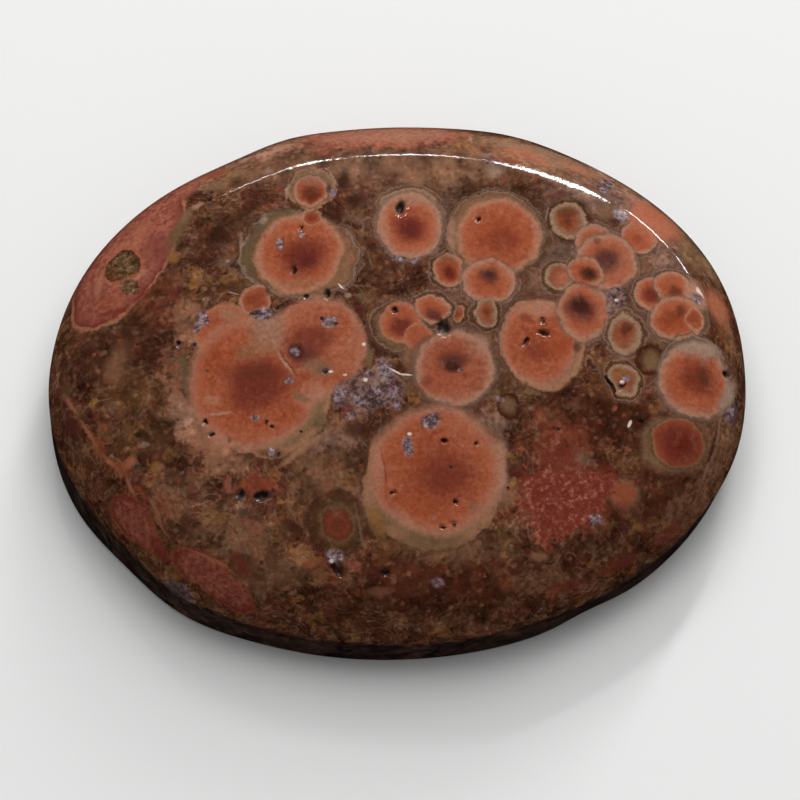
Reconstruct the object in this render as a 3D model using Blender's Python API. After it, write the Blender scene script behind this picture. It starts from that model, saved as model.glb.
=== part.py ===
"""A hand-cut oval cabochon of poppy jasper: a low polished dome, a rounded shoulder that falls
to the girdle, a short wall below it and a flat back.

The long axis lies along X and the short axis along Y. The back rests on Z = 0, the dome is up,
and the origin is at the middle of the back. Lengths are metres and angles are degrees.
"""

import math

import bmesh
import bpy

# Driving dimensions: the outline at the girdle, which is the widest line of the stone
LENGTH = 0.0400
WIDTH = 0.0314
OUTLINE_POWER = 2.04

# The wall under the girdle, and the small bevel that guards the back's edge
GIRDLE_HEIGHT = 0.0034
BACK_BEVEL = 0.0003
WALL_UNDERCUT = 0.00015
BACK_SHIFT_X = -0.00025
BACK_SHIFT_Y = -0.00015

# The side above the girdle: a steep shoulder, then a tighter crease where the dome begins
GIRDLE_TILT = 72.0
CREASE_TILT = 38.0
DOME_TILT = 9.0
SHOULDER_RADIUS = 0.0060
CREASE_RADIUS = 0.0025
DOME_RISE = 0.0011

# Where the wheel lingered: direction, half width, and how far the outline moves out.
# This part of each bump is still there where the dome begins, and it dies away on the dome.
BUMP_LEFT_AT_DOME = 0.3
SHOULDER_SPOTS = (
    (-154, 11, -0.00036),
    (-134, 9, 0.00016),
    (-178, 10, 0.00012),
    (155, 14, 0.00008),
    (124, 11, -0.00018),
    (111, 9, 0.00014),
    (64, 11, 0.00020),
    (2, 14, -0.00018),
    (-18, 12, 0.00016),
)
BACK_SPOTS = (
    (-52, 7, -0.00026),
    (-134, 10, 0.00018),
    (-151, 9, -0.00024),
)
# The girdle line wanders up and down a little: direction, half width, rise
GIRDLE_SPOTS = (
    (-74, 14, 0.00045),
    (-46, 16, -0.00070),
    (-150, 22, 0.00030),
    (40, 30, -0.00025),
    (125, 30, 0.00030),
)

# How finely the surface is divided
SEGMENTS = 96
WALL_STEPS = 3
SHOULDER_STEPS = 7
CREASE_STEPS = 6
DOME_STEPS = 9
SHARP_ANGLE = 32.0

STONE_COLOUR = (0.27, 0.15, 0.09, 1.0)
STONE_ROUGHNESS = 0.14


def bumps_at(direction, spots):
    """The sum of soft bumps at a direction seen from above."""
    total = 0.0
    for middle, spread, size in spots:
        away = (direction - middle + 180.0) % 360.0 - 180.0
        total += size * math.exp(-((away / spread) ** 2))
    return total


def oval_point(turn, half_length, half_width):
    """A point of the slightly squared oval, for a turn from 0 to 1 around it."""
    c = math.cos(math.tau * turn)
    s = math.sin(math.tau * turn)
    x = half_length * math.copysign(abs(c) ** (2.0 / OUTLINE_POWER), c)
    y = half_width * math.copysign(abs(s) ** (2.0 / OUTLINE_POWER), s)
    return x, y


def ring_points(ring):
    """The points of one ring around the stone, with its hand-ground bumps."""
    points = []
    for i in range(SEGMENTS):
        x, y = oval_point(i / SEGMENTS, ring["half_length"], ring["half_width"])
        direction = math.degrees(math.atan2(y, x))
        reach = math.hypot(x, y)
        grow = 1.0 + ring["bump_share"] * bumps_at(direction, ring["spots"]) / reach
        z = ring["height"] + ring["girdle_share"] * bumps_at(direction, GIRDLE_SPOTS)
        points.append((x * grow + ring["shift"][0], y * grow + ring["shift"][1], z))
    return points


def make_ring(inset, height, spots=SHOULDER_SPOTS, bump_share=1.0, girdle_share=0.0,
              shift=(0.0, 0.0), scale=1.0):
    """One ring, set in from the girdle's outline by inset and then scaled about the middle."""
    return {
        "half_length": (LENGTH / 2 - inset) * scale,
        "half_width": (WIDTH / 2 - inset) * scale,
        "height": height,
        "spots": spots,
        "bump_share": bump_share,
        "girdle_share": girdle_share,
        "shift": shift,
    }


def wall_rings():
    """From the flat back up to just under the girdle."""
    shift = (BACK_SHIFT_X, BACK_SHIFT_Y)
    return [
        make_ring(WALL_UNDERCUT + BACK_BEVEL, 0.0, BACK_SPOTS, shift=shift),
        make_ring(WALL_UNDERCUT, BACK_BEVEL, BACK_SPOTS, shift=shift),
    ]


def arc(inset, height, radius, tilt_from, tilt_to, steps):
    """Insets and heights along an arc whose surface tilt falls from tilt_from to tilt_to."""
    places = []
    for i in range(1, steps + 1):
        tilt = math.radians(tilt_from + (tilt_to - tilt_from) * i / steps)
        start = math.radians(tilt_from)
        new_inset = inset + radius * (math.sin(start) - math.sin(tilt))
        new_height = height + radius * (math.cos(tilt) - math.cos(start))
        places.append((new_inset, new_height))
    return places


def crown_rings():
    """From the girdle over the shoulder and the crease to the last ring of the dome."""
    side = [(0.0, GIRDLE_HEIGHT)]
    side += arc(*side[-1], SHOULDER_RADIUS, GIRDLE_TILT, CREASE_TILT, SHOULDER_STEPS)
    side += arc(*side[-1], CREASE_RADIUS, CREASE_TILT, DOME_TILT, CREASE_STEPS)
    dome_inset, dome_foot = side[-1]
    rings = []
    for inset, height in side:
        fade = 1.0 - inset / dome_inset
        share = BUMP_LEFT_AT_DOME + (1.0 - BUMP_LEFT_AT_DOME) * fade
        rings.append(make_ring(inset, height, bump_share=share, girdle_share=fade))
    for i in range(1, DOME_STEPS):
        scale = 1.0 - i / DOME_STEPS
        height = dome_foot + DOME_RISE * (1.0 - scale * scale)
        share = BUMP_LEFT_AT_DOME * scale ** 3
        rings.append(make_ring(dome_inset, height, bump_share=share, scale=scale))
    return rings, dome_foot + DOME_RISE


def centre_on_box(points_by_ring):
    """Moves every ring so that the stone's box is centred on the origin."""
    xs = [point[0] for ring in points_by_ring for point in ring]
    ys = [point[1] for ring in points_by_ring for point in ring]
    middle_x = (min(xs) + max(xs)) / 2
    middle_y = (min(ys) + max(ys)) / 2
    return [[(x - middle_x, y - middle_y, z) for x, y, z in ring] for ring in points_by_ring]


def between(lower, upper, steps):
    """Rings spaced evenly between two rings, without their ends."""
    rings = []
    for i in range(1, steps):
        share = i / steps
        rings.append([
            tuple(a + (b - a) * share for a, b in zip(low, high))
            for low, high in zip(lower, upper)
        ])
    return rings


def extruded(bm, loop):
    """Extrudes a closed loop of vertices and gives the new loop in the same order."""
    edges = [bm.edges.get((loop[i - 1], vert)) for i, vert in enumerate(loop)]
    made = bmesh.ops.extrude_edge_only(bm, edges=edges)["geom"]
    fresh = {item for item in made if isinstance(item, bmesh.types.BMVert)}
    above = []
    for vert in loop:
        above += [e.other_vert(vert) for e in vert.link_edges if e.other_vert(vert) in fresh]
    return above


def build_stone():
    """Extrudes ring after ring from the flat back to the top of the dome, and closes it."""
    wall = [ring_points(ring) for ring in wall_rings()]
    crown_list, top_height = crown_rings()
    crown = [ring_points(ring) for ring in crown_list]
    rings = wall + between(wall[-1], crown[0], WALL_STEPS) + crown
    rings = centre_on_box(rings)

    bm = bmesh.new()
    bmesh.ops.create_circle(bm, cap_ends=True, segments=SEGMENTS, radius=LENGTH / 2)
    bm.verts.ensure_lookup_table()
    loop = list(bm.verts)
    for vert, place in zip(loop, rings[0]):
        vert.co = place
    for ring in rings[1:]:
        loop = extruded(bm, loop)
        for vert, place in zip(loop, ring):
            vert.co = place
    cap = bmesh.ops.contextual_create(bm, geom=loop)["faces"]
    top = bmesh.ops.poke(bm, faces=cap)["verts"][0]
    top.co.z = top_height
    bmesh.ops.recalc_face_normals(bm, faces=bm.faces)
    return bm


def stone_material():
    material = bpy.data.materials.new("polished_jasper")
    material.use_nodes = True
    shader = material.node_tree.nodes["Principled BSDF"]
    shader.inputs["Base Color"].default_value = STONE_COLOUR
    shader.inputs["Roughness"].default_value = STONE_ROUGHNESS
    shader.inputs["Metallic"].default_value = 0.0
    return material


def main():
    for old in list(bpy.data.objects):
        bpy.data.objects.remove(old, do_unlink=True)
    bm = build_stone()
    mesh = bpy.data.meshes.new("jasper_cabochon")
    bm.to_mesh(mesh)
    bm.free()
    mesh.shade_smooth()
    mesh.set_sharp_from_angle(angle=math.radians(SHARP_ANGLE))
    mesh.materials.append(stone_material())
    stone = bpy.data.objects.new("jasper_cabochon", mesh)
    bpy.context.scene.collection.objects.link(stone)


main()
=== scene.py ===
import math

import bmesh
import bpy
from mathutils import Matrix, Vector, kdtree, noise


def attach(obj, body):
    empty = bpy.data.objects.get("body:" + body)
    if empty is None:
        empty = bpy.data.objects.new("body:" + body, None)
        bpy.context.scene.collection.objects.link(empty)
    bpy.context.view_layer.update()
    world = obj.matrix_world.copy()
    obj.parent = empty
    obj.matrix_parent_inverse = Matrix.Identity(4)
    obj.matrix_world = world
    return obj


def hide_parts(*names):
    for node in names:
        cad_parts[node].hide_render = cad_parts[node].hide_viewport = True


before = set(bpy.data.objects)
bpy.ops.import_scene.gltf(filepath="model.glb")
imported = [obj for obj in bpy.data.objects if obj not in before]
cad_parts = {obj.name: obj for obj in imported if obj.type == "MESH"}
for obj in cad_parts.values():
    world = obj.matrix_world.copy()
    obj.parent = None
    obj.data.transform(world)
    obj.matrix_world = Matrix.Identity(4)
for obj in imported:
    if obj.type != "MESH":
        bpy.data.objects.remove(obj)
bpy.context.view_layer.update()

mm = 0.001

# the stone's cut, the same as in the solid (millimetres and degrees)
cut = {
    "length": 40.0,
    "width": 31.4,
    "squareness": 2.04,
    "girdleHeight": 3.4,
    "backBevel": 0.3,
    "wallUndercut": 0.15,
    "backShift": (-0.25, -0.15),
    "girdleTilt": 72.0,
    "creaseTilt": 38.0,
    "domeTilt": 9.0,
    "shoulderRadius": 6.0,
    "creaseRadius": 2.5,
    "domeRise": 1.1,
    "bumpLeftAtDome": 0.3,
    # direction, half width, how far the outline moves out
    "shoulderBumps": (
        (-154, 11, -0.36), (-134, 9, 0.16), (-178, 10, 0.12), (155, 14, 0.08), (124, 11, -0.18),
        (111, 9, 0.14), (64, 11, 0.20), (2, 14, -0.18), (-18, 12, 0.16)),
    "backBumps": ((-52, 7, -0.26), (-134, 10, 0.18), (-151, 9, -0.24)),
    # direction, half width, how far the girdle line rises
    "girdleRises": (
        (-74, 14, 0.45), (-46, 16, -0.70), (-150, 22, 0.30), (40, 30, -0.25), (125, 30, 0.30)),
    "segments": 384,
    "bevelSteps": 3,
    "wallSteps": 13,
    "shoulderSteps": 17,
    "creaseSteps": 14,
    "domeSteps": 54,
    "backSteps": 5,
    "sharpAngle": 32.0,
    # the wheel's faint waves on the polished side, and how far above the girdle they set in
    "waveHeight": 0.012,
    "waveLength": 3.2,
    "waveStart": 0.3,
    "waveFadeIn": 1.5,
    # how far round a hollow the faces are made finer, twice, and how ragged its edge is
    "hollowSpreads": (2.6, 2.0),
    "hollowMargin": 0.1,
    "hollowReach": 2.2,
    "hollowRagged": 0.35,
    "hollowRaggedScale": 4.0,
    "hollowSteepness": 1.5,
}


def bumpsAt(direction, bumps):
    total = 0.0
    for middle, spread, size in bumps:
        away = (direction - middle + 180.0) % 360.0 - 180.0
        total += size * math.exp(-((away / spread) ** 2))
    return total


def ovalPoint(turn, halfLength, halfWidth):
    c, s = math.cos(math.tau * turn), math.sin(math.tau * turn)
    power = 2.0 / cut["squareness"]
    return (halfLength * math.copysign(abs(c) ** power, c),
            halfWidth * math.copysign(abs(s) ** power, s))


def makeRing(inset, height, bumps="shoulderBumps", bumpShare=1.0, girdleShare=0.0,
             shift=(0.0, 0.0), scale=1.0):
    return {
        "halfLength": (cut["length"] / 2 - inset) * scale,
        "halfWidth": (cut["width"] / 2 - inset) * scale,
        "height": height, "bumps": cut[bumps], "bumpShare": bumpShare,
        "girdleShare": girdleShare, "shift": shift,
    }


def ringPoints(ring):
    points = []
    for i in range(cut["segments"]):
        x, y = ovalPoint(i / cut["segments"], ring["halfLength"], ring["halfWidth"])
        direction = math.degrees(math.atan2(y, x))
        grow = 1.0 + ring["bumpShare"] * bumpsAt(direction, ring["bumps"]) / math.hypot(x, y)
        z = ring["height"] + ring["girdleShare"] * bumpsAt(direction, cut["girdleRises"])
        points.append(Vector((x * grow + ring["shift"][0], y * grow + ring["shift"][1], z)))
    return points


def arcPlaces(inset, height, radius, tiltFrom, tiltTo, steps):
    places = []
    start = math.radians(tiltFrom)
    for i in range(1, steps + 1):
        tilt = math.radians(tiltFrom + (tiltTo - tiltFrom) * i / steps)
        places.append((inset + radius * (math.sin(start) - math.sin(tilt)),
                       height + radius * (math.cos(tilt) - math.cos(start))))
    return places


def crownRings():
    side = [(0.0, cut["girdleHeight"])]
    side += arcPlaces(*side[-1], cut["shoulderRadius"], cut["girdleTilt"], cut["creaseTilt"],
                      cut["shoulderSteps"])
    side += arcPlaces(*side[-1], cut["creaseRadius"], cut["creaseTilt"], cut["domeTilt"],
                      cut["creaseSteps"])
    domeInset, domeFoot = side[-1]
    rings = []
    for inset, height in side:
        fade = 1.0 - inset / domeInset
        share = cut["bumpLeftAtDome"] + (1.0 - cut["bumpLeftAtDome"]) * fade
        rings.append(makeRing(inset, height, bumpShare=share, girdleShare=fade))
    for i in range(1, cut["domeSteps"]):
        scale = 1.0 - i / cut["domeSteps"]
        height = domeFoot + cut["domeRise"] * (1.0 - scale * scale)
        rings.append(makeRing(domeInset, height, bumpShare=cut["bumpLeftAtDome"] * scale ** 3,
                              scale=scale))
    return rings, domeFoot + cut["domeRise"]


crown, topHeight = crownRings()


def heightAt(x, y):
    # height of the crown over a point, read from the rings on either side of it
    below = None
    for ring in crown:
        reach = ((abs(x) / ring["halfLength"]) ** cut["squareness"]
                 + (abs(y) / ring["halfWidth"]) ** cut["squareness"])
        if reach > 1.0:
            if below is None:
                return cut["girdleHeight"]
            share = (1.0 - below[0]) / (reach - below[0])
            return below[1] + (ring["height"] - below[1]) * share
        below = (reach, ring["height"])
    return topHeight


# small hollows in the polish: x, y, half length, half width, turn, depth (millimetres, degrees)
hollows = (
    (-5.7, 5.7, .16, .3, 0, .16), (-5.15, 8.3, .14, .14, 0, .1), (-3.8, 4, .18, .24, 20, .18),
    (-5, 3.9, .13, .13, 0, .1), (-6.8, 3.4, .13, .13, 0, .1), (.65, 9.3, .26, .4, -15, .26),
    (5, 8.35, .15, .15, 0, .12), (8.45, 1.15, .34, .16, -8, .22), (7.4, .6, .26, .13, 50, .15),
    (8.4, 1.9, .15, .18, 0, .12), (12.7, -2.25, .26, .14, 30, .2), (18.8, -1.15, .22, .2, 0, .2),
    (0, 2.85, .18, .18, 0, .14), (2.7, 1.7, .34, .52, 15, .24), (2.5, -5.2, .2, .14, 0, .15),
    (4.3, -5.4, .12, .12, 0, .1), (2.1, -10.15, .16, .12, 0, .12), (2.75, -10, .16, .12, 0, .12),
    (2.95, -8.75, .14, .14, 0, .12), (-12.35, 1.5, .16, .16, 0, .12),
    (-11.05, -3.3, .15, .15, 0, .12), (-10.8, -4.05, .15, .15, 0, .12), (-8, 3.1, .16, .13, 0, .12),
    (-3.95, -12.3, .26, .48, 35, .28), (-4.1, -.7, .16, .13, 0, .12), (-.5, -8.05, .13, .13, 0, .1),
    (12, -2.1, .1, .55, 25, .16), (-1.2, -12.6, .22, .22, 0, .16), (-9.3, -7.6, .26, .26, 0, .14),
    (-8.1, -7.9, .4, .26, 0, .14),
)


def extruded(bm, loop):
    edges = [bm.edges.get((loop[i - 1], vert)) for i, vert in enumerate(loop)]
    made = bmesh.ops.extrude_edge_only(bm, edges=edges)["geom"]
    fresh = {item for item in made if isinstance(item, bmesh.types.BMVert)}
    above = []
    for vert in loop:
        above += [e.other_vert(vert) for e in vert.link_edges if e.other_vert(vert) in fresh]
    return above


def spaced(lower, upper, steps):
    return [[a.lerp(b, i / steps) for a, b in zip(lower, upper)] for i in range(1, steps)]


def backRings(edge):
    # rings across the flat back, from its middle out to the bevel
    shares = [step / cut["backSteps"] for step in range(1, cut["backSteps"])]
    return [[Vector((p.x * share, p.y * share, 0.0)) for p in edge] for share in shares]


def centred(rings, reference):
    xs = [p.x for ring in reference for p in ring]
    ys = [p.y for ring in reference for p in ring]
    middle = Vector(((min(xs) + max(xs)) / 2, (min(ys) + max(ys)) / 2, 0.0))
    return [[p - middle for p in ring] for ring in rings]


def waveAt(point):
    # the crown's faint waves; they die out at the girdle so that the box stays the same
    above = point.z - cut["girdleHeight"] - cut["waveStart"]
    share = min(max(above / cut["waveFadeIn"], 0.0), 1.0)
    return cut["waveHeight"] * share * noise.noise(point / cut["waveLength"])


def unrolled(rings):
    # where each crown ring falls when the crown is rolled out flat round its top, in mm
    flat = []
    walked = [0.0] * cut["segments"]
    last = [Vector((0.0, 0.0, topHeight))] * cut["segments"]
    for ring in reversed(rings):
        row = []
        for i, point in enumerate(ring):
            walked[i] += (point - last[i]).length
            last[i] = point
            around = Vector((point.x, point.y))
            row.append(around.normalized() * walked[i])
        flat.append(row)
    return list(reversed(flat))


def buildStone():
    shift = cut["backShift"]
    inset = cut["wallUndercut"] + cut["backBevel"]
    low = ringPoints(makeRing(inset, 0.0, "backBumps", shift=shift))
    high = ringPoints(makeRing(cut["wallUndercut"], cut["backBevel"], "backBumps", shift=shift))
    crownPoints = [ringPoints(ring) for ring in crown]
    reference = [low, high] + crownPoints
    back, wall, top = (centred(rings, reference) for rings in (
        backRings(low),
        [low] + spaced(low, high, cut["bevelSteps"]) + [high]
        + spaced(high, crownPoints[0], cut["wallSteps"]),
        crownPoints))
    rings = back + wall + top

    bm = bmesh.new()
    bmesh.ops.create_circle(bm, cap_ends=True, segments=cut["segments"], radius=1.0)
    bm.verts.ensure_lookup_table()
    loop = list(bm.verts)
    for vert, place in zip(loop, rings[0]):
        vert.co = place
    bmesh.ops.poke(bm, faces=list(bm.faces))
    loops = [loop]
    for ring in rings[1:]:
        loop = extruded(bm, loop)
        for vert, place in zip(loop, ring):
            vert.co = place
        loops.append(loop)
    cap = bmesh.ops.contextual_create(bm, geom=loop)["faces"]
    tip = bmesh.ops.poke(bm, faces=cap)["verts"][0]
    tip.co.z = topHeight
    bmesh.ops.recalc_face_normals(bm, faces=bm.faces)
    layOut(bm, loops, tip, len(back), len(wall), top)
    for vert in bm.verts:
        vert.co.z += waveAt(vert.co)
    carveHollows(bm)
    bm.transform(Matrix.Scale(mm, 4))
    return bm


# the bake's layout: crown rolled out, back below it, wall as a strip (texels of 1024)
layout = {
    "size": 1024.0, "crownScale": 19.9, "crownMiddle": (440.0, 660.0),
    "backScale": 7.4, "backMiddle": (160.0, 172.0), "stripLeft": 8.0, "stripWidth": 1008.0,
    "stripFoot": 6.0, "stripHeight": 38.0,
}


def layOut(bm, loops, tip, backCount, wallCount, topPoints):
    uvLayer = bm.loops.layers.uv.new("OFBake")
    flat = unrolled(topPoints)
    ringOf, turnOf = {}, {}
    for number, loop in enumerate(loops):
        for turn, vert in enumerate(loop):
            ringOf[vert], turnOf[vert] = number, turn
    size = layout["size"]
    firstWall, firstCrown = backCount, backCount + wallCount
    for face in bm.faces:
        known = [vert for vert in face.verts if vert in ringOf]
        highest = max(ringOf[vert] for vert in known)
        wraps = {turnOf[vert] for vert in known} >= {0, cut["segments"] - 1}
        for corner in face.loops:
            vert = corner.vert
            if highest > firstCrown or vert is tip:
                if vert is tip:
                    place = Vector((0.0, 0.0))
                else:
                    place = flat[ringOf[vert] - firstCrown][turnOf[vert]]
                place = place * layout["crownScale"] + Vector(layout["crownMiddle"])
            elif highest <= firstWall:
                place = vert.co.xy * layout["backScale"] + Vector(layout["backMiddle"])
                place.x = 2 * layout["backMiddle"][0] - place.x
            else:
                turn = turnOf[vert] or (cut["segments"] if wraps else 0)
                place = Vector((
                    layout["stripLeft"] + layout["stripWidth"] * turn / cut["segments"],
                    layout["stripFoot"] + layout["stripHeight"]
                    * (ringOf[vert] - firstWall) / wallCount))
            corner[uvLayer].uv = place / size


def carveHollows(bm):
    # finer faces where a hollow lies, then the hollow itself
    spots = [(Vector((x, y, heightAt(x, y))), a, b, math.radians(turn), depth)
             for x, y, a, b, turn, depth in hollows]
    for spread in cut["hollowSpreads"]:
        near = set()
        tree, verts = searchTree(bm)
        for middle, a, b, turn, depth in spots:
            for _, index, _ in tree.find_range(middle, max(a, b) * spread + cut["hollowMargin"]):
                near.update(verts[index].link_edges)
        bmesh.ops.subdivide_edges(bm, edges=list(near), cuts=1, use_grid_fill=True)
    tree, verts = searchTree(bm)
    for middle, a, b, turn, depth in spots:
        for place, index, _ in tree.find_range(middle, cut["hollowReach"] * max(a, b)):
            away = place.xy - middle.xy
            unevenness = noise.noise(place * cut["hollowRaggedScale"])
            ragged = 1.0 + cut["hollowRagged"] * unevenness
            along = (away.x * math.cos(turn) + away.y * math.sin(turn)) / (a * ragged)
            across = (-away.x * math.sin(turn) + away.y * math.cos(turn)) / (b * ragged)
            fall = (along * along + across * across) ** cut["hollowSteepness"]
            verts[index].co.z -= depth * math.exp(-fall)


def searchTree(bm):
    verts = list(bm.verts)
    tree = kdtree.KDTree(len(verts))
    for index, vert in enumerate(verts):
        tree.insert(vert.co, index)
    tree.balance()
    return tree, verts


print("cutting the stone")
stoneBm = buildStone()
stoneMesh = bpy.data.meshes.new("polished_stone")
stoneBm.to_mesh(stoneMesh)
stoneBm.free()
stoneMesh.shade_smooth()
stoneMesh.set_sharp_from_angle(angle=math.radians(cut["sharpAngle"]))
stone = bpy.data.objects.new("polished_stone", stoneMesh)
bpy.context.scene.collection.objects.link(stone)

# colours as they look on the stone, 0 to 255
tones = {
    "poppy": (154, 79, 53), "poppyWarm": (160, 85, 56), "poppyDeep": (140, 65, 39),
    "pumpkin": (148, 70, 40), "salmon": (164, 97, 72), "salmonPale": (167, 112, 88),
    "blush": (160, 118, 97), "clay": (135, 69, 44), "brick": (122, 56, 39),
    "blood": (106, 45, 35), "wine": (94, 31, 18), "coal": (62, 31, 26), "plum": (84, 47, 42),
    "umber": (90, 48, 30), "tan": (134, 92, 69), "wheat": (152, 108, 80), "sand": (150, 118, 95),
    "oliveTan": (120, 91, 66), "olive": (104, 78, 53), "oliveDark": (74, 50, 28),
    "moss": (97, 77, 55), "smoke": (108, 82, 68), "fog": (150, 124, 106), "earth": (84, 53, 37),
    "earthDark": (60, 34, 23), "earthDeep": (44, 25, 17), "earthPale": (116, 82, 62),
    "rust": (96, 52, 34), "rustDark": (72, 36, 23), "rose": (148, 85, 68),
    "roseDeep": (124, 64, 54), "roseRed": (110, 46, 37), "mauve": (80, 36, 32),
    "lilac": (132, 110, 113), "lilacDark": (94, 73, 78), "steel": (70, 56, 56),
    "chalk": (216, 198, 186), "pit": (24, 11, 8), "slate": (62, 52, 50), "dusk": (74, 58, 49),
    "tanDusk": (100, 70, 50), "oliveWarm": (134, 92, 50), "haze": (138, 106, 92),
}


def linear(value):
    value /= 255.0
    return value / 12.92 if value <= 0.04045 else ((value + 0.055) / 1.055) ** 2.4


def tone(name, cover=1.0):
    return tuple(linear(part) for part in tones[name]) + (cover,)


# rings from the middle (0) to the edge (1) of a marking: place, tone, and how much it covers
# where that isn't all
bands = {
    "poppyOrb": ((0, "poppyDeep"), (.5, "poppy"), (.78, "poppyWarm"), (.88, "salmon"),
                 (.96, "salmonPale"), (1.02, "wheat", .75), (1.08, "olive", .35),
                 (1.18, "olive", 0)),
    "blushOrb": ((0, "poppyDeep"), (.35, "poppy"), (.62, "poppyWarm"), (.78, "salmon"),
                 (.88, "salmonPale"), (.97, "blush"), (1.05, "smoke", .55),
                 (1.17, "smoke", 0)),
    "softOrb": ((0, "poppyDeep"), (.5, "poppy"), (.82, "poppyWarm"), (.94, "salmon"),
                (1.02, "salmonPale", .7), (1.13, "salmonPale", 0)),
    "redOrb": ((0, "wine"), (.5, "blood"), (.74, "brick"), (.9, "clay"),
               (.99, "tan", .8), (1.06, "oliveDark", .5), (1.14, "olive", 0)),
    "darkOrb": ((0, "blood"), (.3, "brick"), (.46, "umber"), (.57, "tanDusk"),
                (.7, "oliveDark", .9), (1.0, "earthDark", .7), (1.12, "earthDark", 0)),
    "netHalo": ((0, "olive"), (.80, "oliveDark", .8), (.88, "haze", .75),
                (.94, "earth", .5), (1.0, "smoke", .4), (1.08, "earth", 0)),
    "softHalo": ((0, "olive"), (.75, "olive", .9), (.9, "oliveTan", .8), (1.05, "earthPale", .4),
                 (1.2, "earth", 0)),
    "smallOrb": ((0, "brick"), (.45, "clay"), (.75, "poppy"), (.9, "salmonPale"),
                 (1.0, "blush", .8), (1.1, "smoke", 0)),
    "tanOrb": ((0, "umber"), (.45, "clay"), (.7, "tan"), (.88, "sand"),
               (.98, "sand", .9), (1.03, "olive", .7), (1.1, "olive", 0)),
    "oliveOrb": ((0, "oliveTan"), (.45, "olive"), (.8, "rustDark"), (.95, "earthDark"),
                 (1.1, "earthDark", 0)),
    "mossHalo": ((0, "olive"), (.84, "moss"), (.92, "moss", .9), (.965, "fog", .55),
                 (1.0, "dusk", .8), (1.06, "dusk", 0)),
    "oliveHalo": ((0, "olive"), (.82, "oliveTan"), (.93, "wheat", .9), (.98, "wheat", .7),
                  (1.01, "earth", .6), (1.06, "earth", 0)),
    "sandRim": ((0, "oliveDark"), (.8, "moss"), (.87, "wheat"), (.96, "wheat"),
                (1.02, "earth", .6), (1.07, "earth", 0)),
    "darkHalo": ((0, "earthDark"), (.86, "earthDark", .85), (.97, "oliveDark", .6),
                 (1.08, "earthDark", 0)),
    "tanHalo": ((0, "oliveTan"), (.84, "tan"), (.91, "olive"), (.95, "haze", .9),
                (.985, "dusk", .8), (1.02, "haze", .5), (1.06, "earth", 0)),
    "duskHalo": ((0, "dusk"), (.8, "dusk", .7), (.93, "smoke", .5), (.97, "earth", .5),
                 (1.05, "earth", 0)),
    "roseZone": ((0, "rose"), (.55, "rose"), (.9, "roseDeep"), (.955, "roseRed", .9),
                 (.975, "salmon", .9), (1.0, "wheat", .8), (1.035, "earth", 0)),
    "island": ((0, "olive"), (.3, "olive"), (.5, "oliveDark"), (.8, "oliveDark"),
               (.93, "umber"), (.99, "salmon", .8), (1.1, "salmon", 0)),
    "veinHalo": ((0, "roseDeep"), (.6, "roseRed"), (.88, "roseRed", .9), (.97, "clay", .7),
                 (1.06, "umber", .4), (1.16, "earth", 0)),
}


# how the pattern is scattered, shaded and polished (places and sizes in millimetres)
rock = {
    "orbDepth": 1.5,    # an orb's depth as a share of its width
    "bandRoom": 1.25,    # how far out the rings of a band may run
    "groupSize": 12,    # more markings than this in one group overrun the renderer
    "trace": 1e-9,    # too little of a colour to be seen
    # how far places wander: scale of the noise, its detail and roughness, and the amount
    "drift": (0.5, 1.0, 0.5, 0.6), "fray": (1.7, 2.0, 0.65, 0.22),
    "fineFray": (11.0, 0.0, 0.6, 0.12), "looseFray": 2.0, "haloFray": 0.25, "orbFray": 0.1,
    # the noises of the colour: scale, detail, roughness
    "mottle": (1.0, 4.0, 0.75), "lineWander": (0.42, 1.0, 0.5), "broadShade": (0.75, 2.0, 0.6),
    "speckle": (3.4, 3.0, 0.65), "cloud": (1.3, 3.0, 0.65), "grain": (4.2, 3.0, 0.75),
    "clumpScale": 1.0, "grainScale": 2.9, "lineCount": 13.0, "grainShade": (0.8, 1.2),
    # the ground wall: how far under the girdle it begins and is whole, the painted shade that
    # darkens it, and its finish
    "wallFade": (0.15, 0.75), "wallPaintedShade": (0.42, 0.38, 0.36, 1), "wallRoughness": 0.6,
    # the polish
    "polish": 0.07, "dullRoughness": 0.5, "refraction": 1.54, "specular": 0.4,
    "dimples": (3.0, 1.0, 0.6), "dimpleStrength": 0.2, "dimpleDepth": 0.03 * mm,
}


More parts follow.
